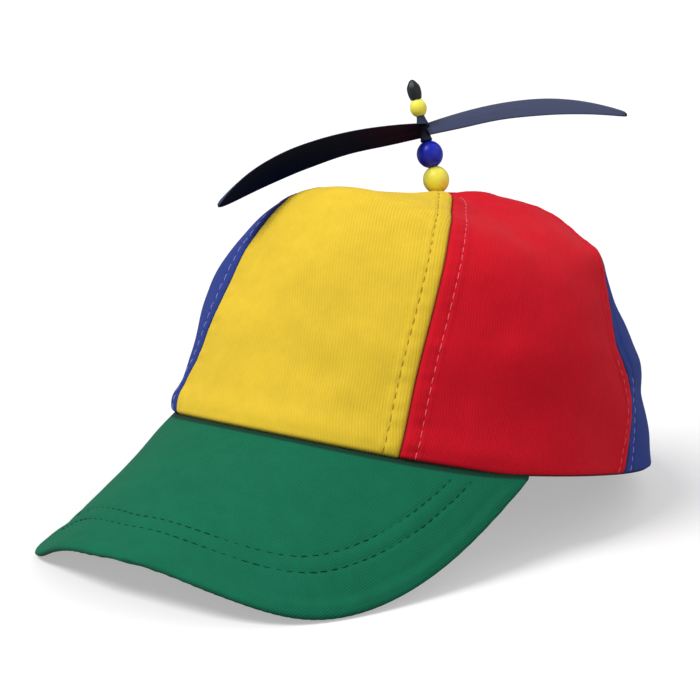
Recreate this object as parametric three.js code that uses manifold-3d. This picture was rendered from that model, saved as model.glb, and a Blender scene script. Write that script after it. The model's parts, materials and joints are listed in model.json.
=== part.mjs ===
// Propeller cap: a five-panel cloth crown, an arched peak, and a two-blade propeller on a
// pin with beads. Millimetres, +Z up, the peak points to -Y and the wearer's left is +X.
// Z = 0 is the surface that the cap rests on, with the peak's two corners and the back hem.
import * as THREE from "three";
import { mergeVertices } from "three/addons/utils/BufferGeometryUtils.js";
import Module from "manifold-3d";

const wasm = await Module();
wasm.setup();

const RAD = Math.PI / 180;

// Clearance between neighbouring pieces.
const GAP = 0.3;

const CROWN = {
  halfLength: 98,
  halfWidth: 86,
  wall: 2,
  // Top of the crown, where the pin comes through.
  topForward: -7.5,
  topLeft: 5.2,
  topHeight: 114.3,
  // How the hem falls from the peak's ends to the back, as an exponent.
  hemFall: 0.8,
  // How deep the lowest arc of the hem is pressed flat on the ground.
  hemFlat: 1,
  columnStep: 7,
  rows: 16,
};

// The crown's outline from the hem (station 0) to the hole for the pin (station 1), in front,
// at the side and at the back: rise is a share of the top's height above the hem, and reach a
// share of the hem's distance from the top.
const FRONT_LINE = [
  { station: 0, rise: 0, reach: 1 },
  { station: 0.2, rise: 0.28, reach: 0.916 },
  { station: 0.4, rise: 0.574, reach: 0.831 },
  { station: 0.6, rise: 0.902, reach: 0.702 },
  { station: 0.75, rise: 1.115, reach: 0.529 },
  { station: 0.88, rise: 1.07, reach: 0.302 },
  { station: 1, rise: 1, reach: 0.035 },
];
const SIDE_LINE = [
  { station: 0, rise: 0, reach: 1 },
  { station: 0.2, rise: 0.298, reach: 0.94 },
  { station: 0.4, rise: 0.514, reach: 0.907 },
  { station: 0.6, rise: 0.775, reach: 0.774 },
  { station: 0.75, rise: 0.9, reach: 0.578 },
  { station: 0.88, rise: 0.955, reach: 0.31 },
  { station: 1, rise: 1, reach: 0.035 },
];
const BACK_LINE = [
  { station: 0, rise: 0, reach: 1 },
  { station: 0.2, rise: 0.275, reach: 0.967 },
  { station: 0.4, rise: 0.494, reach: 0.799 },
  { station: 0.6, rise: 0.733, reach: 0.614 },
  { station: 0.75, rise: 0.918, reach: 0.48 },
  { station: 0.88, rise: 0.985, reach: 0.28 },
  { station: 1, rise: 1, reach: 0.035 },
];

// Angle of each seam round the crown, in degrees from the front towards the wearer's left.
const SEAMS = [
  { station: 0, frontLeft: 36, rearLeft: 97, frontRight: -34, rearRight: -97 },
  { station: 0.1, frontLeft: 37.3, rearLeft: 101.5, frontRight: -35, rearRight: -98 },
  { station: 0.2, frontLeft: 38.5, rearLeft: 104, frontRight: -33, rearRight: -99 },
  { station: 0.3, frontLeft: 39.9, rearLeft: 103, frontRight: -31, rearRight: -100 },
  { station: 0.4, frontLeft: 41.6, rearLeft: 102.5, frontRight: -29.5, rearRight: -100 },
  { station: 0.6, frontLeft: 46, rearLeft: 110.5, frontRight: -29.5, rearRight: -100 },
  { station: 0.75, frontLeft: 49.5, rearLeft: 127, frontRight: -31, rearRight: -101 },
  { station: 0.88, frontLeft: 54, rearLeft: 143, frontRight: -34, rearRight: -102 },
  { station: 1, frontLeft: 62, rearLeft: 148, frontRight: -40, rearRight: -103 },
];

// Dents and bulges of the soft crown: where each is centred, how far it spreads, and how far
// it stands out of the smooth form (negative for a dent).
const FOLDS = [
  { angle: 112, station: 0.62, angleSpread: 12, stationSpread: 0.05, depth: 2.5 },
  { angle: 122, station: 0.5, angleSpread: 16, stationSpread: 0.07, depth: -1 },
  { angle: 122, station: 0.28, angleSpread: 14, stationSpread: 0.05, depth: 1.2 },
  { angle: 122, station: 0.19, angleSpread: 14, stationSpread: 0.04, depth: -1.5 },
  { angle: 32, station: 0.86, angleSpread: 18, stationSpread: 0.07, depth: 1.2 },
  { angle: 52, station: 0.94, angleSpread: 28, stationSpread: 0.045, depth: 3 },
  { angle: 104, station: 0.42, angleSpread: 12, stationSpread: 0.08, depth: -1.3 },
  { angle: 112, station: 0.87, angleSpread: 26, stationSpread: 0.07, depth: 2.6 },
  { angle: 120, station: 0.94, angleSpread: 34, stationSpread: 0.05, depth: 2.4 },
  { angle: 164, station: 0.87, angleSpread: 22, stationSpread: 0.08, depth: -2 },
  { angle: 180, station: 0.9, angleSpread: 36, stationSpread: 0.06, depth: -1.4 },
];

const PEAK = {
  // Height of the peak's middle line over the crown's centre, before its slope.
  centreHeight: 89.3,
  slope: 25.1 * RAD,
  archRadius: 91.8,
  thickness: 2.4,
  // Half the arc of the hem that the peak is sewn to.
  halfArc: 65.9 * RAD,
  // Outer edge: a rounded rectangle about a point in front of the crown's centre.
  halfWidth: 78.6,
  edgeCentre: 26.8,
  edgeLength: 132.8,
  edgeRoundness: 3.31,
  // Turn round the outer edge, from straight ahead, at which the side edges of the peak end.
  edgeTurn: 88.65 * RAD,
  rows: 8,
  columns: 44,
};

const PIN = {
  radius: 1,
  headRadius: 4,
  headThickness: 1.2,
  // Slack between the head and the cloth over it.
  headSlack: 0.8,
  // Length of the pin that reaches into the finial.
  seat: 4,
};

// The stack leans from the vertical towards the wearer's right and to the back.
const STACK = {
  leanRight: 18.3 * RAD,
  leanBack: 0.7 * RAD,
  // Height of the lowest bead's underside over the crown's top.
  baseClearance: 0.95,
};

const BEAD = { baseRadius: 4.9, spacerRadius: 4.9, topRadius: 3.1, endFlat: 0.2 };

const HUB = { radius: 2.6, height: 9.5, shoulder: 3.4, neckRadius: 1.9 };

const PROPELLER = {
  radius: 87.9,
  chord: 18,
  thickness: 1.3,
  edgeThickness: 0.7,
  camber: 0.9,
  pitch: 29.6 * RAD,
  droop: 11,
  droopPower: 3.67,
  // Height of the blades' root on the hub.
  rootHeight: 4.05,
  // Turn of the blades about the pin, from the wearer's left to the back.
  restTurn: 64.7 * RAD,
};

// Half the blade's width, on its raised and its lowered side, as shares of the chord.
const BLADE = [
  { reach: 0, raised: 0.25, lowered: 0.25 },
  { reach: 0.15, raised: 0.41, lowered: 0.26 },
  { reach: 0.35, raised: 0.55, lowered: 0.24 },
  { reach: 0.55, raised: 0.61, lowered: 0.34 },
  { reach: 0.75, raised: 0.60, lowered: 0.39 },
  { reach: 0.9, raised: 0.46, lowered: 0.29 },
  { reach: 0.97, raised: 0.24, lowered: 0.14 },
  { reach: 1, raised: 0.02, lowered: 0.02 },
];

// Where the blade's sections stand along it, and the points of a section across it.
const BLADE_STATIONS = [0, 0.08, 0.15, 0.25, 0.35, 0.45, 0.55, 0.64, 0.72, 0.79, 0.86, 0.91, 0.95, 0.98, 1];
const BLADE_POINTS = [0, 0.12, 0.35, 0.65, 0.88, 1];

const FINIAL = { length: 7.6 };

// Outline of the ridged finial: height and radius as shares of its length.
const FINIAL_PROFILE = [
  { height: 0, radius: 0.2 },
  { height: 0.06, radius: 0.27 },
  { height: 0.26, radius: 0.3 },
  { height: 0.34, radius: 0.33 },
  { height: 0.42, radius: 0.29 },
  { height: 0.56, radius: 0.31 },
  { height: 0.64, radius: 0.33 },
  { height: 0.72, radius: 0.27 },
  { height: 0.88, radius: 0.15 },
  { height: 1, radius: 0 },
];

const ROUND_SEGMENTS = 24;
const BEAD_RINGS = 12;

const COLOUR = {
  yellow: 0xeed24a,
  red: 0xcf1f2e,
  blue: 0x35469b,
  green: 0x1d6e50,
  dark: 0x171a26,
  beadBlue: 0x2a369a,
  beadYellow: 0xe6cf3c,
  finial: 0x23292c,
  steel: 0xa8abb0,
};

const square = (value) => value * value;

const metal = (color) => new THREE.MeshStandardMaterial({ color, roughness: 0.35, metalness: 1 });

const plastic = (color) =>
  new THREE.MeshStandardMaterial({ color, roughness: 0.4, metalness: 0 });

const cloth = (color) =>
  new THREE.MeshStandardMaterial({ color, roughness: 0.9, metalness: 0 });

// A smooth curve through one column of a table, read at any value of its key column.
function column(rows, key, name) {
  const at = rows.map((row) => row[key]);
  const values = rows.map((row) => row[name]);
  const curve = new THREE.CubicInterpolant(at, values, 1, new Float32Array(1));
  return (value) => curve.evaluate(value)[0];
}

function columns(rows, key) {
  const names = Object.keys(rows[0]).filter((name) => name !== key);
  return Object.fromEntries(names.map((name) => [name, column(rows, key, name)]));
}

const frontLine = columns(FRONT_LINE, "station");
const sideLine = columns(SIDE_LINE, "station");
const backLine = columns(BACK_LINE, "station");
const seam = columns(SEAMS, "station");
const blade = columns(BLADE, "reach");

// A point from its distances to the front and to the wearer's left, and its height.
const at = (forward, left, height) => new THREE.Vector3(left, -forward, height);

// Height of the surface that lies a distance off the peak's middle surface.
function peakHeight(forward, left, offset) {
  const drop = Math.sqrt(square(PEAK.archRadius) - square(left));
  const lean = Math.hypot(1, left / drop, Math.tan(PEAK.slope));
  const arch = PEAK.archRadius - drop;
  return PEAK.centreHeight - arch - Math.tan(PEAK.slope) * forward + offset * lean;
}

// A point of the surface that lies a distance off the peak's middle surface, along its normal.
function peakPoint(forward, left, offset) {
  const drop = Math.sqrt(square(PEAK.archRadius) - square(left));
  const normal = at(Math.tan(PEAK.slope), left / drop, 1).normalize();
  return at(forward, left, peakHeight(forward, left, 0)).addScaledVector(normal, offset);
}

// The peak's outer edge at an angle from straight ahead.
function peakEdge(angle) {
  const power = 2 / PEAK.edgeRoundness;
  const side = Math.sign(angle) * PEAK.halfWidth * Math.abs(Math.sin(angle)) ** power;
  const forward = PEAK.edgeCentre + PEAK.edgeLength * Math.abs(Math.cos(angle)) ** power;
  return { forward, left: side };
}

const cornerSamples = Array.from({ length: 91 }, (_, degree) => peakEdge(degree * RAD));
const restHeight = Math.min(
  ...cornerSamples.map((edge) => peakPoint(edge.forward, edge.left, -PEAK.thickness / 2).z),
);

// A point of the hem, at a distance inside the crown's outer face.
function hem(angle, inset) {
  const forward = (CROWN.halfLength - inset) * Math.cos(angle);
  const left = (CROWN.halfWidth - inset) * Math.sin(angle);
  const offset = PEAK.thickness / 2 + GAP;
  if (Math.abs(angle) <= PEAK.halfArc) {
    return at(forward, left, peakHeight(forward, left, offset));
  }
  const endForward = CROWN.halfLength * Math.cos(PEAK.halfArc);
  const endLeft = CROWN.halfWidth * Math.sin(PEAK.halfArc);
  const end = peakHeight(endForward, endLeft, offset) - restHeight;
  const share = (Math.cos(angle) + 1) / (Math.cos(PEAK.halfArc) + 1);
  const rise = end * share ** CROWN.hemFall;
  return at(forward, left, restHeight + Math.max(0, rise - CROWN.hemFlat * (1 - share)));
}

// How far the folds push the crown out at an angle (degrees) and a station.
function foldDepth(degrees, station) {
  return FOLDS.reduce((sum, fold) => {
    // Turn from the fold's middle, taken the short way round the back.
    const turn = ((degrees - fold.angle + 540) % 360) - 180;
    const across = turn / fold.angleSpread;
    const along = (station - fold.station) / fold.stationSpread;
    return sum + fold.depth * Math.exp(-square(across) - square(along));
  }, 0);
}

// A point of the crown at an angle (degrees) and a station, inside its outer face by inset.
function crownPoint(degrees, station, inset) {
  const angle = degrees * RAD;
  const base = hem(angle, inset);
  const along = square(Math.cos(angle));
  const endLine = Math.cos(angle) > 0 ? frontLine : backLine;
  const mix = (name) =>
    THREE.MathUtils.lerp(sideLine[name](station), endLine[name](station), along);
  const top = at(CROWN.topForward, CROWN.topLeft, CROWN.topHeight - inset);
  const reach = mix("reach");
  const point = at(0, 0, base.z + (top.z - base.z) * mix("rise"));
  point.x = top.x + (base.x - top.x) * reach;
  point.y = top.y + (base.y - top.y) * reach;
  const up = (station * Math.PI) / 2;
  const level = Math.cos(up);
  const outward = at(Math.cos(angle) * level, Math.sin(angle) * level, Math.sin(up));
  return point.addScaledVector(outward, foldDepth(degrees, station));
}

// A closed solid through sections, each a ring of points whose point k faces point N-1-k
// across the thickness. The two ends are closed with ladders of faces between those pairs.
function loft(sections) {
  const count = sections[0].length;
  const triangles = [];
  const quad = (a, b, c, d) => triangles.push([a, b, c], [a, c, d]);
  for (let i = 0; i + 1 < sections.length; i++) {
    for (let k = 0; k < count; k++) {
      const next = (k + 1) % count;
      quad(sections[i][k], sections[i][next], sections[i + 1][next], sections[i + 1][k]);
    }
  }
  const first = sections[0];
  const last = sections[sections.length - 1];
  for (let k = 0; k + 1 < count / 2; k++) {
    quad(first[k], first[count - 1 - k], first[count - 2 - k], first[k + 1]);
    quad(last[k], last[k + 1], last[count - 2 - k], last[count - 1 - k]);
  }
  const volume = triangles.reduce((sum, [a, b, c]) => sum + a.dot(b.clone().cross(c)), 0);
  const facing = volume < 0 ? triangles.map(([a, b, c]) => [a, c, b]) : triangles;
  return new THREE.BufferGeometry().setFromPoints(facing.flat());
}

// Shares of a panel's width at which its columns stand: even steps, and one at the peak's end.
function columnShares(start, end) {
  const peakEnd = PEAK.halfArc / RAD;
  const inside = [-peakEnd, peakEnd].filter((angle) => angle > start && angle < end);
  const marks = [start, ...inside, end];
  const angles = marks.slice(1).flatMap((mark, i) => {
    const steps = Math.max(1, Math.round((mark - marks[i]) / CROWN.columnStep));
    return Array.from({ length: steps }, (_, step) =>
      THREE.MathUtils.lerp(marks[i], mark, (step + 1) / steps),
    );
  });
  return [start, ...angles].map((angle) => (angle - start) / (end - start));
}

// A panel of the crown between two seams.
function panel(startAngle, endAngle) {
  const pointOn = (share, station, inset) => {
    const start = startAngle(station);
    const end = endAngle(station);
    const here = crownPoint(start, station, 0);
    const ahead = crownPoint(start + 1, station, 0);
    const margin = GAP / 2 / here.distanceTo(ahead);
    const degrees = THREE.MathUtils.lerp(start, end, share);
    return crownPoint(THREE.MathUtils.clamp(degrees, start + margin, end - margin), station, inset);
  };
  const stations = Array.from({ length: CROWN.rows + 1 }, (_, row) => row / CROWN.rows);
  const sections = columnShares(startAngle(0), endAngle(0)).map((share) => [
    ...stations.map((station) => pointOn(share, station, 0)),
    ...stations.toReversed().map((station) => pointOn(share, station, CROWN.wall)),
  ]);
  return loft(sections);
}

// The peak: sections from one end of its arc to the other, each from the hem to the edge.
function peak() {
  const half = PEAK.thickness / 2;
  const sections = Array.from({ length: PEAK.columns + 1 }, (_, step) => {
    const share = (2 * step) / PEAK.columns - 1;
    const angle = share * PEAK.halfArc;
    const inner = {
      forward: (CROWN.halfLength - CROWN.wall) * Math.cos(angle),
      left: (CROWN.halfWidth - CROWN.wall) * Math.sin(angle),
    };
    const outer = peakEdge(share * PEAK.edgeTurn);
    const surface = (part, offset) => {
      const forward = THREE.MathUtils.lerp(inner.forward, outer.forward, part);
      const left = THREE.MathUtils.lerp(inner.left, outer.left, part);
      return peakPoint(forward, left, offset);
    };
    const parts = Array.from({ length: PEAK.rows + 1 }, (_, row) => row / PEAK.rows);
    return [
      ...parts.map((part) => surface(part, half)),
      ...parts.toReversed().map((part) => surface(part, -half)),
    ];
  });
  return loft(sections);
}

// A manifold solid from a geometry.
function solid(geometry) {
  const bare = geometry.clone();
  bare.deleteAttribute("normal");
  bare.deleteAttribute("uv");
  const merged = mergeVertices(bare, 1e-4);
  return new wasm.Manifold(
    new wasm.Mesh({
      numProp: 3,
      vertProperties: merged.attributes.position.array,
      triVerts: new Uint32Array(merged.index.array),
    }),
  );
}

function geometryOf(shape) {
  const mesh = shape.getMesh();
  return new THREE.BufferGeometry()
    .setAttribute("position", new THREE.BufferAttribute(mesh.vertProperties, 3))
    .setIndex(new THREE.BufferAttribute(mesh.triVerts, 1));
}

// A turned solid about the pin's line, from rows of radius and height.
function turned(rows) {
  const profile = rows.map(([radius, height]) => new THREE.Vector2(radius, height));
  return new THREE.LatheGeometry(profile, ROUND_SEGMENTS).rotateX(Math.PI / 2);
}

// A cylinder along the pin's line between two heights.
function rod(radius, from, to) {
  return turned([
    [0, from],
    [radius, from],
    [radius, to],
    [0, to],
  ]);
}

const bored = (shape, from, to) =>
  geometryOf(solid(shape).subtract(solid(rod(PIN.radius + GAP, from, to))));

// A bead with its middle at a height, with its two ends pressed a little flat.
function bead(radius, middle) {
  const reach = radius - BEAD.endFlat;
  const limit = Math.asin(reach / radius);
  const arc = Array.from({ length: BEAD_RINGS + 1 }, (_, ring) => {
    const angle = THREE.MathUtils.lerp(-limit, limit, ring / BEAD_RINGS);
    return [radius * Math.cos(angle), middle + radius * Math.sin(angle)];
  });
  const shape = turned([[0, middle - reach], ...arc, [0, middle + reach]]);
  return bored(shape, middle - radius, middle + radius);
}

const baseMiddle = STACK.baseClearance + BEAD.baseRadius;
const spacerBottom = baseMiddle + BEAD.baseRadius - BEAD.endFlat + GAP;
const spacerMiddle = spacerBottom + BEAD.spacerRadius - BEAD.endFlat;
const hubBottom = spacerMiddle + BEAD.spacerRadius - BEAD.endFlat + GAP;
const topBottom = hubBottom + HUB.height + GAP;
const topMiddle = topBottom + BEAD.topRadius - BEAD.endFlat;
const finialBottom = topMiddle + BEAD.topRadius - BEAD.endFlat + GAP;

// One blade along the local X axis: sections from the hub to the tip.
function bladeShape() {
  const sections = BLADE_STATIONS.map((reach) => {
    const low = -blade.lowered(reach) * PROPELLER.chord;
    const high = blade.raised(reach) * PROPELLER.chord;
    const drop = PROPELLER.droop * reach ** PROPELLER.droopPower;
    const side = (share, face) => {
      const across = THREE.MathUtils.lerp(low, high, share);
      const lens = 1 - square(2 * share - 1);
      const half = THREE.MathUtils.lerp(PROPELLER.edgeThickness, PROPELLER.thickness, lens) / 2;
      const off = PROPELLER.camber * lens + face * half;
      return new THREE.Vector3(
        reach * PROPELLER.radius,
        across * Math.cos(PROPELLER.pitch) - off * Math.sin(PROPELLER.pitch),
        across * Math.sin(PROPELLER.pitch) + off * Math.cos(PROPELLER.pitch) - drop,
      );
    };
    return [
      ...BLADE_POINTS.map((share) => side(share, 1)),
      ...BLADE_POINTS.toReversed().map((share) => side(share, -1)),
    ];
  });
  return loft(sections).translate(0, 0, hubBottom + PROPELLER.rootHeight);
}

function propeller() {
  const hub = turned([
    [0, hubBottom],
    [HUB.radius, hubBottom],
    [HUB.radius, hubBottom + HUB.height - HUB.shoulder],
    [HUB.neckRadius, hubBottom + HUB.height],
    [0, hubBottom + HUB.height],
  ]);
  const whole = solid(hub)
    .add(solid(bladeShape()))
    .add(solid(bladeShape().rotateZ(Math.PI)));
  const bore = solid(rod(PIN.radius + GAP, hubBottom - GAP, hubBottom + HUB.height + GAP));
  return geometryOf(whole.subtract(bore)).rotateZ(PROPELLER.restTurn);
}

function finial() {
  const rows = FINIAL_PROFILE.map((row) => [
    row.radius * FINIAL.length,
    finialBottom + row.height * FINIAL.length,
  ]);
  const shape = turned([[0, finialBottom], ...rows]);
  return bored(shape, finialBottom - GAP, finialBottom + PIN.seat + GAP);
}

// The pin, with a flat head under the crown's cloth.
function pin() {
  const tilt = Math.hypot(Math.tan(STACK.leanRight), Math.tan(STACK.leanBack));
  const headTop = -CROWN.wall - PIN.headSlack - PIN.headRadius * tilt;
  const rows = [
    [0, headTop - PIN.headThickness],
    [PIN.headRadius, headTop - PIN.headThickness],
    [PIN.headRadius, headTop],
    [PIN.radius, headTop],
    [PIN.radius, finialBottom + PIN.seat],
    [0, finialBottom + PIN.seat],
  ];
  return turned(rows);
}

const object = new THREE.Group();

function addPiece(name, geometry, material, matrix) {
  const mesh = new THREE.Mesh(geometry, material);
  mesh.name = name;
  if (matrix) {
    mesh.applyMatrix4(matrix);
  }
  object.add(mesh);
}

const fixed = (angle) => () => angle;
addPiece("crown_front", panel(seam.frontRight, seam.frontLeft), cloth(COLOUR.yellow));
addPiece("crown_left", panel(seam.frontLeft, seam.rearLeft), cloth(COLOUR.red));
addPiece("crown_back_left", panel(seam.rearLeft, fixed(180)), cloth(COLOUR.blue));
addPiece("crown_back_right", panel(fixed(-180), seam.rearRight), cloth(COLOUR.red));
addPiece("crown_right", panel(seam.rearRight, seam.frontRight), cloth(COLOUR.blue));
addPiece("peak", peak(), cloth(COLOUR.green));

const stackAxis = at(-Math.tan(STACK.leanBack), -Math.tan(STACK.leanRight), 1).normalize();
const stackTurn = new THREE.Quaternion().setFromUnitVectors(new THREE.Vector3(0, 0, 1), stackAxis);
const stackFoot = at(CROWN.topForward, CROWN.topLeft, CROWN.topHeight);
const stack = new THREE.Matrix4().compose(stackFoot, stackTurn, new THREE.Vector3(1, 1, 1));

addPiece("pin", pin(), metal(COLOUR.steel), stack);
addPiece("bead_base", bead(BEAD.baseRadius, baseMiddle), plastic(COLOUR.beadYellow), stack);
addPiece("bead_spacer", bead(BEAD.spacerRadius, spacerMiddle), plastic(COLOUR.beadBlue), stack);
addPiece("propeller", propeller(), plastic(COLOUR.dark), stack);
addPiece("bead_top", bead(BEAD.topRadius, topMiddle), plastic(COLOUR.beadYellow), stack);
addPiece("finial", finial(), plastic(COLOUR.finial), stack);

// The origin is under the middle of the whole cap, on the surface that it rests on.
const extent = new THREE.Box3().setFromObject(object, true);
const middle = extent.getCenter(new THREE.Vector3());
object.position.set(-middle.x, -middle.y, -extent.min.z);

export default object;
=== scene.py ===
import json
import math

import bmesh
import bpy
import numpy as np
from mathutils import Euler, Matrix, Vector


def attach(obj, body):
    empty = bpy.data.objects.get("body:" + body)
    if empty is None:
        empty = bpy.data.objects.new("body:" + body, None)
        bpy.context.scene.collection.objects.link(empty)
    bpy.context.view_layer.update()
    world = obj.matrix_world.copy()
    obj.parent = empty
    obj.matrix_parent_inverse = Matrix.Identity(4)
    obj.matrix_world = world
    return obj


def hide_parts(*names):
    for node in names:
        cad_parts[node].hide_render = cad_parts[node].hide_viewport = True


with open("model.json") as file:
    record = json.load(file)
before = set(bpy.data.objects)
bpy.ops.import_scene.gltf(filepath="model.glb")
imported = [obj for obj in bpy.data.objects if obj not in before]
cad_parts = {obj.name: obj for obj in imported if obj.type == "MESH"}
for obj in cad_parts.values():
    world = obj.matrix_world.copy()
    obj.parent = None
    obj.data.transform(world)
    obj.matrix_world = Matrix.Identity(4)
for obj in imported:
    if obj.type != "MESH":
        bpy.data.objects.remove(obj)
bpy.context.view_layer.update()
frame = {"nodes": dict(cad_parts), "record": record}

MM = 0.001
RAD = math.pi / 180

# Sizes of the cap, in millimetres and as in its solids, with angles in radians.
HALF_LENGTH, HALF_WIDTH = 98, 86
TOP_FORWARD, TOP_LEFT, TOP_HEIGHT = -7.5, 5.2, 114.3
HEM_FALL, HEM_FLAT = 0.8, 1
CLOTH = 1.7
# How far the hem lifts off the peak, and how that fades from the hem up.
HEM_LIFT = (0.7, 0, 3.5)
GAP = 0.3
PEAK_HEIGHT, PEAK_SLOPE, PEAK_ARCH, PEAK_THICK = 89.3, 25.1 * RAD, 91.8, 2.4
PEAK_ARC, PEAK_TURN = 65.9 * RAD, 88.65 * RAD
PEAK_HALF, PEAK_CENTRE, PEAK_LENGTH, PEAK_ROUND = 78.6, 26.8, 132.8, 3.31
# How far the peak reaches in under the crown.
PEAK_TUCK = 2
BEAD_RADIUS, TOP_BEAD_RADIUS, BEAD_FLAT, BASE_CLEARANCE = 4.9, 3.1, 0.2, 0.95
PIN_RADIUS = 1
HUB_RADIUS, HUB_HEIGHT, HUB_SHOULDER, HUB_NECK = 2.6, 9.5, 3.4, 1.9
BLADE_RADIUS, BLADE_CHORD, BLADE_PITCH = 87.9, 18, 29.6 * RAD
BLADE_THICK, BLADE_EDGE, BLADE_CAMBER = 1.3, 0.7, 0.9
BLADE_DROOP, BLADE_DROOP_POWER, BLADE_ROOT, BLADE_REST = 11, 3.67, 4.05, 64.7 * RAD
FINIAL_LENGTH = 7.6
# How far the beads' ends reach into the gap to the next piece, so that they seem to touch.
BEAD_MEET = 0.13

# The crown's outline from the hem (0) to the top (1): station, rise and reach.
FRONT_LINE = ((0, 0.2, 0.4, 0.6, 0.75, 0.88, 1),
              (0, 0.28, 0.574, 0.902, 1.115, 1.07, 1),
              (1, 0.916, 0.831, 0.702, 0.529, 0.302, 0.035))
SIDE_LINE = ((0, 0.2, 0.4, 0.6, 0.75, 0.88, 1),
             (0, 0.298, 0.514, 0.775, 0.9, 0.955, 1),
             (1, 0.94, 0.907, 0.774, 0.578, 0.31, 0.035))
BACK_LINE = ((0, 0.2, 0.4, 0.6, 0.75, 0.88, 1),
             (0, 0.275, 0.494, 0.733, 0.918, 0.985, 1),
             (1, 0.967, 0.799, 0.614, 0.48, 0.28, 0.035))
# Angle of each seam round the crown at each station, in degrees, from the front (0) to the back.
SEAM_STATIONS = (0, 0.1, 0.2, 0.3, 0.4, 0.6, 0.75, 0.88, 1)
SEAMS = {
    "front_left": (36, 37.3, 38.5, 39.9, 41.6, 46, 49.5, 54, 68),
    "rear_left": (97, 103, 106, 104, 102.5, 110.5, 127.5, 143, 148),
    "front_right": (-34, -35, -33, -31, -29.5, -29.5, -31, -34, -40),
    "rear_right": (-97, -98, -99, -100, -100, -100, -101, -102, -103),
}
# Dents and bulges: angle, station, spread of each, and depth.
FOLDS = (
    (112, 0.62, 12, 0.05, 2.5), (122, 0.5, 16, 0.07, -1), (122, 0.28, 14, 0.05, 1.2),
    (122, 0.19, 14, 0.04, -1.5), (32, 0.86, 18, 0.07, 1.2), (52, 0.94, 28, 0.045, 3),
    (104, 0.42, 12, 0.08, -1.3), (112, 0.87, 26, 0.07, 2.6), (120, 0.94, 34, 0.05, 2.4),
    (164, 0.87, 22, 0.08, -2), (180, 0.9, 36, 0.06, -1.4),
)
# Smaller, softer ones that the solids leave out.
SOFT_FOLDS = (
    (24, 0.36, 9, 0.12, -0.9), (12, 0.62, 8, 0.04, 0.6), (-12, 0.5, 14, 0.1, -0.6),
    (-22, 0.72, 6, 0.06, 0.5), (58, 0.5, 12, 0.1, -0.8), (70, 0.16, 16, 0.07, -0.7),
    (84, 0.34, 7, 0.2, 0.6), (78, 0.74, 8, 0.05, -0.6), (90, 0.1, 6, 0.1, -0.9),
    (16, 0.24, 12, 0.06, -0.7), (46, 0.93, 24, 0.04, 0.6), (-150, 0.9, 40, 0.07, -1),
    (154, 0.79, 17, 0.09, -1.4), (145, 0.69, 14, 0.07, -1.2), (127, 0.82, 15, 0.06, 0.6),
    (122, 0.21, 14, 0.05, 0.8), (102, 0.17, 7, 0.07, 0.7), (-46, 0.05, 14, 0.05, 1.2),
    (-50, 0.6, 14, 0.08, -0.8), (30, 0.5, 8, 0.1, -0.7), (-8, 0.8, 20, 0.07, 0.6),
    (66, 0.62, 10, 0.1, 0.7), (88, 0.22, 10, 0.06, 0.6),
    (-60, 0.3, 14, 0.1, -0.8), (-80, 0.6, 12, 0.08, 0.8), (-120, 0.4, 14, 0.1, -0.9),
    (-150, 0.62, 16, 0.09, 0.9), (160, 0.35, 14, 0.12, -0.9), (140, 0.7, 12, 0.07, 0.8),
)
# How far the peak's cloth edge lies outside its solid, from the wearer's right to the left.
EDGE_SHARE = (-1, -0.65, -0.42, -0.26, -0.13, -0.02, 0.08, 0.22, 0.45, 0.7, 1)
EDGE_PUSH = (0, 0.1, 1.6, -1.5, -1.4, 0.9, 0.5, -0.1, 0.3, -0.6, -1)
# How far the peak's cloth sags at most, and where: across, and out from the crown.
PEAK_SAG, SAG_ACROSS, SAG_OUT = 1.9, (30, 68), (0, 22)
# How far the blade's two edges lie from the pin's line, as shares of its chord, along its reach.
BLADE_REACH = (0, 0.15, 0.35, 0.55, 0.75, 0.9, 0.97, 1)
BLADE_RAISED = (0.25, 0.41, 0.55, 0.61, 0.60, 0.46, 0.24, 0.02)
BLADE_LOWERED = (0.25, 0.26, 0.24, 0.34, 0.39, 0.29, 0.14, 0.02)

# Rows of stitches: how far from the seam or the peak's edge, and the stitches' size.
SEAM_STITCH = 5.7
PEAK_STITCHES = (15.1, 20.8)
# How far the peak's rows shift across where they run off its edge, and where they do.
ROW_SHIFT, SHIFT_ACROSS = 11, (35, 72)
STITCH_START, STITCH_PITCH, STITCH_LENGTH = 1.5, 3.8, 3.1
STITCH_WANDER, STITCH_TWIST, STITCH_STRETCH = 0.08, 0.045, (0.9, 1.08)
# A stitch's middle over the cloth, how far its ends dip, and how blunt they are.
STITCH_RISE, STITCH_DIP, STITCH_BLUNTNESS = 0.12, 0.34, 0.8
THREAD_RADIUS = {"cloth_yellow": 0.16, "cloth_red": 0.2, "cloth_blue": 0.22, "cloth_green": 0.2}

# Ridges and grooves of the sewn cloth: height, distance from the seam or edge, and width.
SEAM_ROLL, SEAM_GROOVE, SEAM_PUCKER = (-0.8, 0, 0.5), (-0.3, SEAM_STITCH, 0.75), (0.11, 4.5, 3.2)
# Where the folded cloth under a seam starts and, past its stitches, ends; and the puckers' pitches.
ALLOWANCE_START, ALLOWANCE_END, PUCKER_PITCHES = (0.6, 2.2), (0.6, 2.6), (8.3, 5.1)
HEM_RADIUS, HEM_ROLL = 1.9, (0.8, 6, 4.5)
PEAK_GROOVE, PEAK_GROOVE_WIDTH = -0.36, 0.7
PEAK_PADDING = (0.16, sum(PEAK_STITCHES) / 2, 1.6)
PEAK_RIM, PEAK_RIM_DIP, PEAK_EDGE_RADIUS = (0.3, 3.2, 1.6), (-0.12, 6.4, 1.4), 1.5
# Unevenness of the cloth: height, wavelength and seed.
CROWN_UNEVENNESS, PEAK_UNEVENNESS = ((0.45, 34, 5), (0.16, 13, 6)), ((0.16, 21, 8), (0.07, 8, 9))

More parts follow.
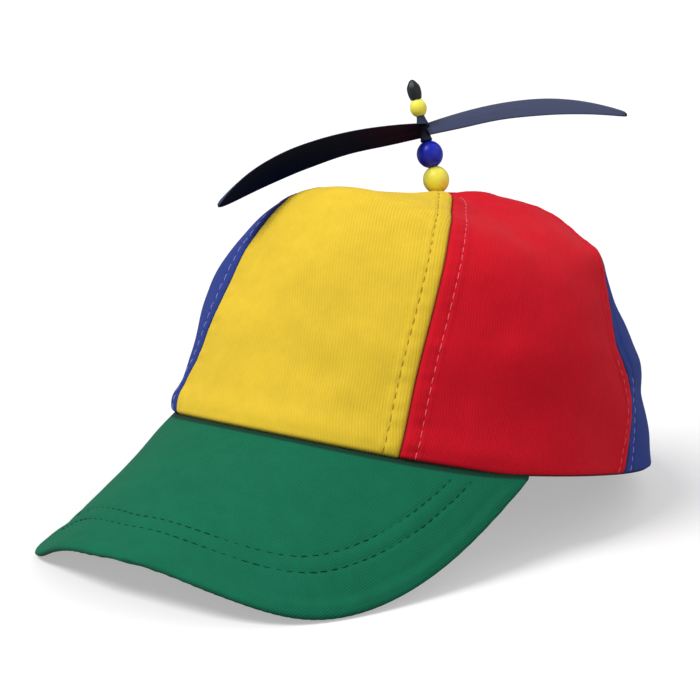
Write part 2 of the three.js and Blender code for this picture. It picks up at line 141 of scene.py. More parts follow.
# Rows and columns of the grids, and how much they crowd together at the seams, hem and edges.
CROWN_GRID, PEAK_GRID, BLADE_GRID = (118, 132), (210, 150), (40, 90)
SEAM_CROWDING, TOP_THINNING, THINNING_POWER = 0.65, 0.3, 1.8
PEAK_CROWDING, TIP_CROWDING = 1.7, 1.25

# The hub's outline: how far inside its radius, and the height over its foot or its shoulder.
HUB_FOOT = ((0.4, 0.1), (0.4, 0.8), (0.6, 1.1))
HUB_WAIST = ((0.6, -1.6), (0.2, -0.9), (0.1, -0.2), (0.35, 0.6))
# A blade's rib along its thick part: height, place on the chord and width, and where it fades.
BLADE_RIB, RIB_FADE, BLADE_BLUNTNESS = (0.22, 0.4, 1.1), (0.5, 0.85), 0.45
# The finial's outline: height and radius as shares of its length; and its number of sides.
FINIAL_OUTLINE = (
    (0, 0.25), (0.02, 0.275), (0.1, 0.3), (0.22, 0.33), (0.36, 0.345), (0.5, 0.345), (0.61, 0.33),
    (0.71, 0.29), (0.82, 0.22), (0.9, 0.165), (0.955, 0.115), (0.985, 0.06), (1, 0),
)
FINIAL_SIDES = 8

spin = frame["record"]["behaviour"]["joints"][0]
STACK_FOOT = Vector(spin["pos_m"])
SHIFT = np.array(STACK_FOOT) / MM - (TOP_LEFT, -TOP_FORWARD, TOP_HEIGHT)
LEAN = Vector((0, 0, 1)).rotation_difference(Vector(spin["axis"]))
STACK = Matrix.Translation(STACK_FOOT) @ LEAN.to_matrix().to_4x4()


# Curves and surfaces.
def smooth_curve(stations, values):
    """A cubic through the rows of a table, read at any array of stations."""
    at, value = np.array(stations, float), np.array(values, float)

    def read(station):
        s = np.clip(station, at[0], at[-1])
        i = np.clip(np.searchsorted(at, s, side="right"), 1, len(at) - 1)
        low, high = at[i - 1], at[i]
        before = np.where(i > 1, at[np.maximum(i - 2, 0)], high)
        after = np.where(i < len(at) - 1, at[np.minimum(i + 1, len(at) - 1)], low)
        value_before = np.where(i > 1, value[np.maximum(i - 2, 0)], value[i])
        value_after = np.where(i < len(at) - 1, value[np.minimum(i + 1, len(at) - 1)], value[i - 1])
        half = (high - low) / 2
        weight_before, weight_after = half / (low - before), half / (after - high)
        p = (s - low) / (high - low)
        return (
            (-weight_before * p**3 + 2 * weight_before * p**2 - weight_before * p) * value_before
            + ((1 + weight_before) * p**3 + (-1.5 - 2 * weight_before) * p**2
               + (-0.5 + weight_before) * p + 1) * value[i - 1]
            + ((-1 - weight_after) * p**3 + (1.5 + weight_after) * p**2 + 0.5 * p) * value[i]
            + (weight_after * p**3 - weight_after * p**2) * value_after
        )

    return read


LINES = {
    name: {"rise": smooth_curve(stations, rises), "reach": smooth_curve(stations, reaches)}
    for name, (stations, rises, reaches) in
    (("front", FRONT_LINE), ("side", SIDE_LINE), ("back", BACK_LINE))
}
SEAM = {name: smooth_curve(SEAM_STATIONS, angles) for name, angles in SEAMS.items()}
SEAM["back"] = lambda station: 180 + 0 * station
SEAM["back_round"] = lambda station: -180 + 0 * station
raised = smooth_curve(BLADE_REACH, BLADE_RAISED)
lowered = smooth_curve(BLADE_REACH, BLADE_LOWERED)


def unit(vectors):
    return vectors / np.maximum(np.linalg.norm(vectors, axis=-1, keepdims=True), 1e-12)


def point(forward, left, height):
    """Points in the solids' directions from lengths forward, to the wearer's left and up."""
    return np.stack(np.broadcast_arrays(left, -forward, height), -1)


def peak_height(forward, left, offset):
    """Height of the peak's surface, or of one at an offset from it, over a place in plan."""
    drop = np.sqrt(PEAK_ARCH**2 - left**2)
    lean = np.sqrt(1 + (left / drop) ** 2 + math.tan(PEAK_SLOPE) ** 2)
    return PEAK_HEIGHT - (PEAK_ARCH - drop) - math.tan(PEAK_SLOPE) * forward + offset * lean


def peak_point(forward, left, offset):
    """Points at an offset, square to the surface, from the peak's middle surface."""
    drop = np.sqrt(PEAK_ARCH**2 - left**2)
    normal = unit(point(math.tan(PEAK_SLOPE), left / drop, 1))
    middle = point(forward, left, peak_height(forward, left, 0))
    return middle + normal * np.asarray(offset)[..., None]


def peak_edge(angle):
    """The solid's outer edge in plan, as lengths forward and to the left."""
    power = 2 / PEAK_ROUND
    left = np.sign(angle) * PEAK_HALF * np.abs(np.sin(angle)) ** power
    return PEAK_CENTRE + PEAK_LENGTH * np.abs(np.cos(angle)) ** power, left


edge_samples = peak_edge(np.linspace(0, 90, 91) * RAD)
REST_HEIGHT = peak_point(*edge_samples, -PEAK_THICK / 2)[:, 2].min()


def hem_point(angle):
    """The crown's lower edge: over the peak in front of its corners, and at rest behind."""
    forward, left = HALF_LENGTH * np.cos(angle), HALF_WIDTH * np.sin(angle)
    offset = PEAK_THICK / 2 + GAP
    over_peak = peak_height(forward, left, offset)
    end = peak_height(HALF_LENGTH * math.cos(PEAK_ARC), HALF_WIDTH * math.sin(PEAK_ARC), offset)
    share = (np.cos(angle) + 1) / (math.cos(PEAK_ARC) + 1)
    rise = (end - REST_HEIGHT) * share**HEM_FALL
    behind = REST_HEIGHT + np.maximum(0, rise - HEM_FLAT * (1 - share))
    return point(forward, left, np.where(np.abs(angle) <= PEAK_ARC, over_peak, behind))


def bulge(folds, degrees, station):
    """How far dents and bulges push the crown out; the turn from each goes the short way round."""
    push = 0
    for at, height, wide, tall, depth in folds:
        turn = (degrees - at + 180) % 360 - 180
        push = push + depth * np.exp(-((turn / wide) ** 2) - ((station - height) / tall) ** 2)
    return push


def crown_point(degrees, station):
    """The crown's outer surface at an angle from the front and a station from the hem up."""
    angle = degrees * RAD
    base = hem_point(angle)
    along = np.cos(angle) ** 2
    ahead = np.cos(angle) > 0

    def mix(measure):
        side, front, back = (LINES[name][measure](station) for name in ("side", "front", "back"))
        return side + (np.where(ahead, front, back) - side) * along

    top = point(TOP_FORWARD, TOP_LEFT, TOP_HEIGHT)
    surface = top + (base - top) * mix("reach")[..., None]
    surface[..., 2] = base[..., 2] + (top[2] - base[..., 2]) * mix("rise")
    push = bulge(FOLDS, degrees, station)
    level = np.cos(station * math.pi / 2)
    outward = point(np.cos(angle) * level, np.sin(angle) * level, np.sin(station * math.pi / 2))
    return surface + outward * push[..., None]


def lengths(points, axis):
    """Distance from the first point along one axis of a grid of points."""
    steps = np.linalg.norm(np.diff(points, axis=axis), axis=-1)
    return np.insert(np.cumsum(steps, axis=axis), 0, 0, axis=axis)


def crown_normals(degrees, station):
    """Outward normals of the crown, the same on both sides of a seam."""
    low, high = np.clip(station - 0.004, 0, 1), np.clip(station + 0.004, 0, 1)
    across = crown_point(degrees + 0.3, station) - crown_point(degrees - 0.3, station)
    return unit(np.cross(across, crown_point(degrees, high) - crown_point(degrees, low)))


def outward_normals(points):
    """Normals of a grid of points, from its own neighbours."""
    return unit(np.cross(np.gradient(points, axis=1), np.gradient(points, axis=0)))


def ease(low, high, value):
    """A smooth step from 0 at low to 1 at high."""
    t = np.clip((value - low) / (high - low), 0, 1)
    return t * t * (3 - 2 * t)


def ridge(distance, height, middle, width):
    """A rounded ridge, or with a height below zero a groove."""
    return height * np.exp(-(((distance - middle) / width) ** 2))


def soft_field(points, wavelength, seed, waves=9):
    """A smooth, random-looking field from about -1 to 1 over points in millimetres."""
    rng = np.random.default_rng(seed)
    directions = unit(rng.normal(size=(waves, 3)))
    rates = 2 * math.pi / (wavelength * rng.uniform(0.75, 1.6, waves))
    phases = rng.uniform(0, 2 * math.pi, waves)
    field = sum(np.sin(points @ (d * k) + p) for d, k, p in zip(directions, rates, phases))
    return field / waves**0.5 / 1.4


def unevenness(points, rows):
    return sum(height * soft_field(points, wavelength, seed) for height, wavelength, seed in rows)


# Meshes.
def new_grid(columns, rows):
    """A grid, and how far across and along it, from 0 to 1, each vertex lies."""
    bm = bmesh.new()
    bmesh.ops.create_grid(bm, x_segments=columns, y_segments=rows, size=1)
    shares = (np.array([vert.co.xy for vert in bm.verts]) + 1) / 2
    in_a_row = int((shares[:, 1] < 1e-6).sum())
    return bm, shares.reshape(-1, in_a_row, 2)


def place(bm, points):
    """Moves a grid's vertices to points in millimetres of the cap's own solids."""
    for vert, at in zip(bm.verts, (points.reshape(-1, 3) + SHIFT) * MM):
        vert.co = at


def close(bm, apart):
    """Joins the seam and poles of a wrapped grid, and caps what is still open."""
    bmesh.ops.remove_doubles(bm, verts=bm.verts, dist=apart)
    bmesh.ops.holes_fill(bm, edges=[edge for edge in bm.edges if edge.is_boundary], sides=0)
    bmesh.ops.recalc_face_normals(bm, faces=bm.faces)


def lay_uv(bm, name, u, v):
    """Lays a UV map in metres from two lengths in millimetres at each vertex."""
    layer = bm.loops.layers.uv.new(name)
    values = np.stack([u, v], -1).reshape(-1, 2) * MM
    for face in bm.faces:
        for loop in face.loops:
            loop[layer].uv = values[loop.vert.index]


def new_object(bm, name):
    mesh = bpy.data.meshes.new(name)
    bm.to_mesh(mesh)
    bm.free()
    made = bpy.data.objects.new(name, mesh)
    bpy.context.scene.collection.objects.link(made)
    return made


def finish(bm, name, material, stands_for=(), body="cap"):
    """Makes a piece, puts it under its body's empty and hides the nodes that it replaces."""
    piece = new_object(bm, name)
    for face in piece.data.polygons:
        face.use_smooth = True
    piece.data.materials.append(material)
    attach(piece, body)
    if stands_for:
        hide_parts(*stands_for)
    return piece


# Materials.
def linear(red, green, blue):
    """A shader's colour from a screen's red, green and blue of 0 to 255."""
    shares = (red / 255, green / 255, blue / 255)
    return tuple(((c + 0.055) / 1.055) ** 2.4 if c > 0.04045 else c / 12.92 for c in shares) + (1,)


def add_node(tree, kind, at, **settings):
    node = tree.nodes.new(kind)
    node.location = at
    for key, value in settings.items():
        setattr(node, key, value)
    return node


def feed(tree, socket, value):
    """Links a socket to another node's output, or sets its own value."""
    if isinstance(value, bpy.types.NodeSocket):
        tree.links.new(value, socket)
    else:
        socket.default_value = value


def math_node(tree, operation, at, *values):
    node = add_node(tree, "ShaderNodeMath", at, operation=operation)
    for socket, value in zip(node.inputs, values):
        feed(tree, socket, value)
    return node.outputs[0]


COLOUR, FLOAT = "NodeSocketColor", "NodeSocketFloat"


def new_group(name, inputs, outputs):
    """An empty node group with its sockets, and its input and output nodes."""
    group = bpy.data.node_groups.new(name, "ShaderNodeTree")
    for label, kind, value in inputs:
        socket = group.interface.new_socket(label, in_out="INPUT", socket_type=kind)
        socket.default_value = value
    for label, kind in outputs:
        group.interface.new_socket(label, in_out="OUTPUT", socket_type=kind)
    given = add_node(group, "NodeGroupInput", (-1200, 0))
    return group, given, add_node(group, "NodeGroupOutput", (900, 0))


def own_place(tree):
    return add_node(tree, "ShaderNodeTexCoord", (-900, 0)).outputs["Object"]


def map_parts(tree, name, at=(-900, 0)):
    """The two parts of one of the piece's own UV maps."""
    split = add_node(tree, "ShaderNodeSeparateXYZ", (at[0] + 180, at[1]))
    tree.links.new(add_node(tree, "ShaderNodeUVMap", at, uv_map=name).outputs[0], split.inputs[0])
    return split.outputs[0], split.outputs[1]


def mix_colour(tree, at, amount, first, second):
    node = add_node(tree, "ShaderNodeMix", at, data_type="RGBA")
    for index, value in ((0, amount), (6, first), (7, second)):
        feed(tree, node.inputs[index], value)
    return node.outputs[2]


def noise(tree, at, vector, scale, detail=2, roughness=0.5):
    node = add_node(tree, "ShaderNodeTexNoise", at)
    tree.links.new(vector, node.inputs["Vector"])
    node.inputs["Scale"].default_value = scale
    node.inputs["Detail"].default_value = detail
    node.inputs["Roughness"].default_value = roughness
    return node.outputs["Fac"]


def twill_group():
    """Ribs of a cotton twill along the cloth's own grain, with uneven threads, painted shade in the
    grooves between ribs, and random patches where that painted shade is fainter.
    """
    group, given, result = new_group(
        "twill",
        (("Colour", COLOUR, (0.8, 0.8, 0.8, 1)), ("Rib pitch", FLOAT, 0.00105),
         ("Rib turn", FLOAT, 0.05), ("Rib depth", FLOAT, 0.5), ("Patchiness", FLOAT, 0.6)),
        (("Colour", COLOUR), ("Height", FLOAT), ("Roughness", FLOAT)),
    )
    link = group.links.new
    weave = add_node(group, "ShaderNodeUVMap", (-1200, 400), uv_map="weave").outputs[0]
    turned = add_node(group, "ShaderNodeVectorRotate", (-1000, 400), rotation_type="Z_AXIS")
    link(weave, turned.inputs["Vector"])
    link(given.outputs["Rib turn"], turned.inputs["Angle"])
    split = add_node(group, "ShaderNodeSeparateXYZ", (-820, 400))
    link(turned.outputs[0], split.inputs[0])
    wander = noise(group, (-820, 620), turned.outputs[0], 420, 2)
    across = math_node(group, "DIVIDE", (-640, 400), split.outputs[0], given.outputs["Rib pitch"])
    across = math_node(group, "MULTIPLY_ADD", (-460, 400), wander, 0.35, across)
    rib = math_node(group, "PINGPONG", (-280, 400), across, 0.5)
    rib = math_node(group, "MULTIPLY", (-100, 400), rib, 2.0)
    step = math_node(group, "FLOOR", (-280, 220), across)
    beat = math_node(group, "DIVIDE", (-460, 220), split.outputs[1], given.outputs["Rib pitch"])
    beat = math_node(group, "MULTIPLY_ADD", (-100, 220), step, 0.37, beat)
    thread = math_node(group, "PINGPONG", (80, 220), beat, 0.5)
    threads = math_node(group, "MULTIPLY_ADD", (260, 300), thread, 0.5, rib)
    fuzz = noise(group, (80, 40), weave, 2600, 3, 0.7)
    slub = noise(group, (80, -140), weave, 140, 3, 0.6)
    height = math_node(group, "MULTIPLY_ADD", (440, 220), fuzz, 0.35, threads)
    link(height, result.inputs["Height"])
    patch = noise(group, (-280, -60), weave, 34, 2, 0.5)
    patch = math_node(group, "MULTIPLY_ADD", (-100, -60), patch, 2.4, -0.8)
    patch = math_node(group, "MAXIMUM", (-60, -60), patch, 0.0)
    patch = math_node(group, "MINIMUM", (-20, -60), patch, 1.0)
    shown = math_node(group, "SUBTRACT", (80, -300), 1.0, given.outputs["Patchiness"])
    shown = math_node(group, "MULTIPLY_ADD", (260, -200), patch, given.outputs["Patchiness"], shown)
    # Painted shade: the grooves between ribs are darkened by the depth setting, less in the
    # patches.
    groove = math_node(group, "SUBTRACT", (260, 60), 1.0, rib)
    dark = math_node(group, "MULTIPLY", (440, 0), groove, given.outputs["Rib depth"])
    dark = math_node(group, "MULTIPLY", (500, -60), dark, shown)
    tone = math_node(group, "ADD", (460, -260), dark, 0.11)
    tone = math_node(group, "MULTIPLY_ADD", (500, -200), slub, -0.22, tone)
    tone = math_node(group, "ADD", (520, -320), tone, 0.05)
    tone = math_node(group, "MULTIPLY_ADD", (560, -260), fuzz, -0.1, tone)
    shade = add_node(group, "ShaderNodeHueSaturation", (700, -100))
    link(given.outputs["Colour"], shade.inputs["Color"])
    link(math_node(group, "SUBTRACT", (620, -180), 1.0, tone), shade.inputs["Value"])
    link(shade.outputs[0], result.inputs["Colour"])
    link(math_node(group, "MULTIPLY_ADD", (620, 120), dark, 0.3, 0.8), result.inputs["Roughness"])
    return group


def seam_shade_group():
    """Painted shade: darkens cloth in the seam's crease and where the crown and the peak meet,
    where shade falls.
    """
    group, given, result = new_group(
        "seam_painted_shade",
        (("Colour", COLOUR, (0.8, 0.8, 0.8, 1)), ("Crease", FLOAT, 0.5),
         ("Hem reach", FLOAT, 0.0012)),
        (("Colour", COLOUR),),
    )
    link = group.links.new
    from_seam, from_hem = map_parts(group, "edges")
    nearer = math_node(group, "MINIMUM", (-540, 0), from_seam, from_hem)
    crease = add_node(group, "ShaderNodeMapRange", (-360, 0), interpolation_type="SMOOTHSTEP")
    link(nearer, crease.inputs["Value"])
    for label, value in (("From Min", 0.0), ("From Max", 0.0009), ("To Min", 1.0), ("To Max", 0.0)):
        crease.inputs[label].default_value = value
    under = add_node(group, "ShaderNodeMapRange", (-360, -260), interpolation_type="SMOOTHSTEP")
    link(from_hem, under.inputs["Value"])
    under.inputs["To Min"].default_value, under.inputs["To Max"].default_value = 1, 0
    near = math_node(group, "MULTIPLY", (-540, -300), given.outputs["Hem reach"], 0.65)
    link(near, under.inputs["From Min"])
    link(given.outputs["Hem reach"], under.inputs["From Max"])
    darkest = math_node(group, "MAXIMUM", (-240, -100), crease.outputs[0], under.outputs[0])
    amount = math_node(group, "MULTIPLY", (-180, 0), darkest, given.outputs["Crease"])
    # Painted shade: the crease and hem masks mix the cloth towards near-black.
    dark = mix_colour(group, (0, 0), amount, given.outputs["Colour"], (0.01, 0.01, 0.01, 1))
    link(dark, result.inputs["Colour"])
    return group


def plastic_group():
    """Moulded plastic: a faint ripple, fine rubbed marks and a little unevenness in gloss."""
    group, given, result = new_group(
        "moulded_plastic",
        (("Colour", COLOUR, (0.1, 0.1, 0.1, 1)), ("Gloss", FLOAT, 0.35)),
        (("Colour", COLOUR), ("Roughness", FLOAT), ("Height", FLOAT)),
    )
    link = group.links.new
    here = own_place(group)
    ripple = noise(group, (-700, 200), here, 260, 2)
    marks = noise(group, (-700, 0), here, 1900, 4, 0.75)
    cloud = noise(group, (-700, -200), here, 90, 2)
    height = math_node(group, "MULTIPLY_ADD", (-400, 200), marks, 0.25, ripple)
    link(height, result.inputs["Height"])
    rough = math_node(group, "MULTIPLY_ADD", (-400, 0), marks, 0.16, given.outputs["Gloss"])
    rough = math_node(group, "MULTIPLY_ADD", (-220, 0), cloud, 0.12, rough)
    link(math_node(group, "SUBTRACT", (-60, 0), rough, 0.14), result.inputs["Roughness"])
    shade = add_node(group, "ShaderNodeHueSaturation", (-60, -200))
    link(given.outputs["Colour"], shade.inputs["Color"])
    tone = math_node(group, "MULTIPLY_ADD", (-220, -200), cloud, 0.14, 0.93)
    link(tone, shade.inputs["Value"])
    link(shade.outputs[0], result.inputs["Colour"])
    return group


def use_group(tree, group, at, **values):
    """A group node with its own sockets set; an underscore stands for a space in a name."""
    node = add_node(tree, "ShaderNodeGroup", at, node_tree=group)
    for label, value in values.items():
        node.inputs[label.replace("_", " ")].default_value = value
    return node


def new_material(name, roughness=0.5, specular=0.5, sheen=0.0, coat=0.0):
    material = bpy.data.materials.new(name)
    material.use_nodes = True
    shader = material.node_tree.nodes["Principled BSDF"]
    shader.inputs["Roughness"].default_value = roughness
    shader.inputs["Specular IOR Level"].default_value = specular
    shader.inputs["Sheen Weight"].default_value = sheen
    shader.inputs["Coat Weight"].default_value = coat
    return material, material.node_tree, shader


def add_bump(tree, shader, height, strength, distance):
    bump = add_node(tree, "ShaderNodeBump", (-200, -300))
    bump.inputs["Strength"].default_value = strength
    bump.inputs["Distance"].default_value = distance
    tree.links.new(height, bump.inputs["Height"])
    tree.links.new(bump.outputs[0], shader.inputs["Normal"])


# Twill cloth: depth sets the painted shade in the rib grooves; crease and hem_reach set the painted
# shade in the seams and along the hem.
def twill_cloth(name, colour, turn=0.05, pitch=0.00105, depth=0.14, patchiness=0.7, crease=0.62,
                hem_reach=0.9):
    material, tree, shader = new_material(name, roughness=0.85, specular=0.12, sheen=0.03)
    shader.inputs["Sheen Roughness"].default_value = 0.4
    weave = use_group(tree, TWILL, (-800, 0), Colour=colour, Rib_pitch=pitch, Rib_turn=turn,
                      Rib_depth=depth, Patchiness=patchiness)
    seam = use_group(tree, SEAM_SHADE, (-500, 0), Crease=crease, Hem_reach=hem_reach * MM)
    tree.links.new(weave.outputs["Colour"], seam.inputs["Colour"])
    tree.links.new(seam.outputs["Colour"], shader.inputs["Base Color"])
    tree.links.new(weave.outputs["Roughness"], shader.inputs["Roughness"])
    add_bump(tree, shader, weave.outputs["Height"], 0.35, 0.0002)
    return material


def thread(name, colour):
    material, tree, shader = new_material(name, roughness=0.75, specular=0.1)
    here = own_place(tree)
    strands = noise(tree, (-700, 0), here, 3500, 2, 0.6)
    shade = mix_colour(tree, (-300, 0), strands, tuple(c * 0.6 for c in colour[:3]) + (1,), colour)
    tree.links.new(shade, shader.inputs["Base Color"])
    add_bump(tree, shader, strands, 0.5, 0.0002)
    return material


def show_moulded(tree, shader, surface):
    tree.links.new(surface.outputs["Colour"], shader.inputs["Base Color"])
    tree.links.new(surface.outputs["Roughness"], shader.inputs["Roughness"])
    add_bump(tree, shader, surface.outputs["Height"], 0.15, 0.0002)


def plastic(name, colour, gloss, specular=0.5, coat=0.0):
    material, tree, shader = new_material(name, specular=specular, coat=coat)
    shader.inputs["Coat Roughness"].default_value = 0.12
    show_moulded(tree, shader, use_group(tree, PLASTIC, (-600, 0), Colour=colour, Gloss=gloss))
    return material


def propeller_plastic():
    """Dark plastic with painted light: paler on the faces that look up, as if lit, and darker on
    those that look down, as if shaded.
    """
    material, tree, shader = new_material("propeller_plastic", specular=0.08)
    surface = use_group(tree, PLASTIC, (-600, 0), Gloss=0.55)
    lit_upper, _ = map_parts(tree, "lit_upper", (-1300, 0))
    # Painted light: near-black navy on downward faces as painted shade, and paler slate on upward
    # faces as painted light.
    shade = mix_colour(tree, (-900, 0), lit_upper, linear(9, 15, 30), linear(64, 70, 98))
    tree.links.new(shade, surface.inputs["Colour"])
    show_moulded(tree, shader, surface)
    return material


def pin_steel():
    material, tree, shader = new_material("pin_steel", roughness=0.35)
    shader.inputs["Metallic"].default_value = 1.0
    here = own_place(tree)
    grain = noise(tree, (-700, 0), here, 2200, 3, 0.6)
    shade = mix_colour(tree, (-300, 0), grain, linear(140, 140, 145), linear(190, 190, 195))
    tree.links.new(shade, shader.inputs["Base Color"])
    rough = math_node(tree, "MULTIPLY_ADD", (-300, -200), grain, 0.2, 0.25)
    tree.links.new(rough, shader.inputs["Roughness"])
    return material


TWILL, SEAM_SHADE, PLASTIC = twill_group(), seam_shade_group(), plastic_group()
YELLOW, RED = linear(236, 200, 56), linear(212, 16, 37)
BLUE, GREEN = linear(45, 64, 142), linear(16, 110, 80)


# The crown.
def seam_relief(away, along, seed, lift):
    """How a pressed-open, topstitched seam stands out of the cloth at a distance from it."""
    past_stitches = away - SEAM_STITCH
    allowance = ease(*ALLOWANCE_START, away) * (1 - ease(*ALLOWANCE_END, past_stitches))
    phases = np.random.default_rng(seed).uniform(0, 6, 2)
    coarse, fine = (np.sin(along * 2 * math.pi / pitch + phase)
                    for pitch, phase in zip(PUCKER_PITCHES, phases))
    pucker = (coarse + 0.7 * fine) * ridge(away, *SEAM_PUCKER) * ease(0, 1.5, away)
    return ridge(away, *SEAM_ROLL) + lift * allowance + ridge(away, *SEAM_GROOVE) + pucker


def hem_relief(rise, angle):
    """The turned-under hem: a rounded lower edge, and a soft roll over it above the peak."""
    curl = np.clip(HEM_RADIUS - rise, 0, HEM_RADIUS)
    front = ease(75, 55, np.abs(angle))
    return np.sqrt(HEM_RADIUS**2 - curl**2) - HEM_RADIUS + front * ridge(rise, *HEM_ROLL)


def crown_panel(name, start, end, material, node, seed, lifts):
    """A cloth panel between two seams, and what the stitches need to lie on it."""
    bm, shares = new_grid(*CROWN_GRID)
    share, station = shares[..., 0], shares[..., 1]
    crowded = 0.5 - 0.5 * np.cos(math.pi * share)
    share = share + (crowded - share) * SEAM_CROWDING
    station = station + (station**THINNING_POWER - station) * TOP_THINNING
    first, last = SEAM[start](station), SEAM[end](station)
    degrees = first + (last - first) * share
    smooth = crown_point(degrees, station)
    across, along = lengths(smooth, 1), lengths(smooth, 0)
    from_start, from_end = across, across[:, -1:] - across
    normal = crown_normals(degrees, station)
    faded = 1 - ease(0.9, 1.0, station)
    push = (seam_relief(from_start, along, seed, lifts[0])
            + seam_relief(from_end, along, seed + 1, lifts[1]))
    push = push * (0.25 + 0.75 * faded) + hem_relief(along, degrees)
    push = push + bulge(SOFT_FOLDS, degrees, station)
    push = push + faded * ease(0, 14, along) * unevenness(smooth, CROWN_UNEVENNESS)
    points = smooth + normal * push[..., None]
    points[..., 2] += ridge(along, *HEM_LIFT) * ease(62, 48, np.abs(degrees))
    place(bm, points)
    middle = across[:, across.shape[1] // 2][:, None]
    lay_uv(bm, "weave", across - middle, along)
    # The edges map places the painted shade in the seams' creases and along the hem's lower edge.
    lay_uv(bm, "edges", np.minimum(from_start, from_end), along)
    piece = finish(bm, name, material, (node,))
    wall = piece.modifiers.new("cloth", "SOLIDIFY")
    wall.thickness = CLOTH * MM
    wall.offset = -1
    wall.use_even_offset = False
    return points, outward_normals(points), across, along


def row_on_panel(panel, away, from_start, highest):
    """Points and normals of a line at a distance from one seam of a panel, up to a height."""
    points, normals, across, along = panel
    line, up = [], []
    for k in range(points.shape[0]):
        if across[k, -1] < 2.4 * away or along[k].mean() > highest:
            break
        at = away if from_start else across[k, -1] - away
        place_at = np.interp(at, across[k], np.arange(across.shape[1]))
        low = min(int(place_at), across.shape[1] - 2)
        part = place_at - low
        line.append(points[k, low] * (1 - part) + points[k, low + 1] * part)
        up.append(normals[k, low] * (1 - part) + normals[k, low + 1] * part)
    return np.array(line), np.array(up)


# Stitches.
def add_stitches(bm, line, up, seed, radius):
    """A row of stitches along a line on the cloth, each one dipping into it at both ends."""
    rng = np.random.default_rng(seed)
    run = lengths(line, 0)

    def on_line(values, at):
        return np.array([np.interp(at, run, values[:, k]) for k in range(3)])

    half = STITCH_LENGTH / 2
    for middle in np.arange(STITCH_START + half, run[-1] - half, STITCH_PITCH):
        middle = middle + rng.normal(0, STITCH_WANDER)
        long = STITCH_LENGTH * rng.uniform(*STITCH_STRETCH)
        ahead = on_line(line, middle + 0.6) - on_line(line, middle - 0.6)
        normal = unit(on_line(up, middle))
        ahead = unit(ahead - normal * (ahead @ normal))
        side = np.cross(normal, ahead)
        ahead = ahead + side * rng.normal(0, STITCH_TWIST)
        made = bmesh.ops.create_uvsphere(bm, u_segments=7, v_segments=7, radius=1)
        centre = on_line(line, middle)
        for vert in made["verts"]:
            x, y, z = vert.co.z, vert.co.y, vert.co.x
            x = math.copysign(abs(x) ** STITCH_BLUNTNESS, x)
            rise = z * radius + STITCH_RISE - STITCH_DIP * x * x
            at = centre + ahead * (x * long / 2) + side * (y * radius) + normal * rise
            vert.co = (at + SHIFT) * MM


def stitch_piece(name, rows, material, slot):
    bm = bmesh.new()
    for seed, (line, up) in rows:
        add_stitches(bm, line, up, seed, THREAD_RADIUS[slot])
    bmesh.ops.recalc_face_normals(bm, faces=bm.faces)
    return finish(bm, name, material)


# The peak.
def developed(forward, left):
    """Where a point of the peak lies once the peak is laid flat, in millimetres."""
    return np.stack([PEAK_ARCH * np.arcsin(left / PEAK_ARCH), forward / math.cos(PEAK_SLOPE)], -1)


def from_developed(flat):
    return flat[..., 1] * math.cos(PEAK_SLOPE), PEAK_ARCH * np.sin(flat[..., 0] / PEAK_ARCH)


edge_push = smooth_curve(EDGE_SHARE, EDGE_PUSH)


def cloth_edge(share):
    """The outer edge of the peak's cloth, from the wearer's right (-1) to the left (1)."""
    forward, left = peak_edge(share * PEAK_TURN)
    before, after = peak_edge((share - 0.002) * PEAK_TURN), peak_edge((share + 0.002) * PEAK_TURN)
    ahead, side = after[0] - before[0], after[1] - before[1]
    push = edge_push(share) / np.hypot(ahead, side)
    return forward + push * side, left - push * ahead


def sag(forward, left):
    """How far the peak's cloth hangs below its solid, towards the wearer's right."""
    off_crown = np.hypot(forward, left * HALF_LENGTH / HALF_WIDTH) - HALF_LENGTH
    most = PEAK_SAG * ease(*SAG_ACROSS, -left) * ease(*SAG_OUT, off_crown)
    room = np.maximum(peak_height(forward, left, -PEAK_THICK / 2) - REST_HEIGHT, 0)
    return -most * room / (most + room + 1e-6)


def resting(points):
    """Presses what would reach under the surface that the cap rests on flat against it."""
    above = points[..., 2] - REST_HEIGHT
    points[..., 2] = REST_HEIGHT + (above + np.sqrt(above**2 + 0.16)) / 2
    return points


edge_line = developed(*cloth_edge(np.linspace(-1, 1, 700)))


def from_edge(flat):
    """Distance of laid-flat points from the peak's outer edge."""
    nearest = [np.sqrt(((edge_line - at) ** 2).sum(-1).min()) for at in flat.reshape(-1, 2)]
    return np.array(nearest).reshape(flat.shape[:-1])


def run_off(across):
    """Where the stitched rows lie: shifted on the wearer's right, where they run off the edge."""
    return across - ROW_SHIFT * ease(*SHIFT_ACROSS, -across)


def before_run_off(flat):
    """Laid-flat points moved back to where the rows would lie without their shift."""
    across = np.linspace(-120, 120, 2401)
    return np.stack([np.interp(flat[..., 0], run_off(across), across), flat[..., 1]], -1)


def peak_relief(away, from_crown, points, reach):
    """Grooves of the stitched rows, the turned edge's rim and the cloth's unevenness."""
    rows = sum(ridge(reach, PEAK_GROOVE, row, PEAK_GROOVE_WIDTH) for row in PEAK_STITCHES)
    rim = ridge(away, *PEAK_RIM) + ridge(away, *PEAK_RIM_DIP)
    uneven = unevenness(points, PEAK_UNEVENNESS)
    return (rows + ridge(reach, *PEAK_PADDING) + rim + uneven) * ease(2, 9, from_crown)


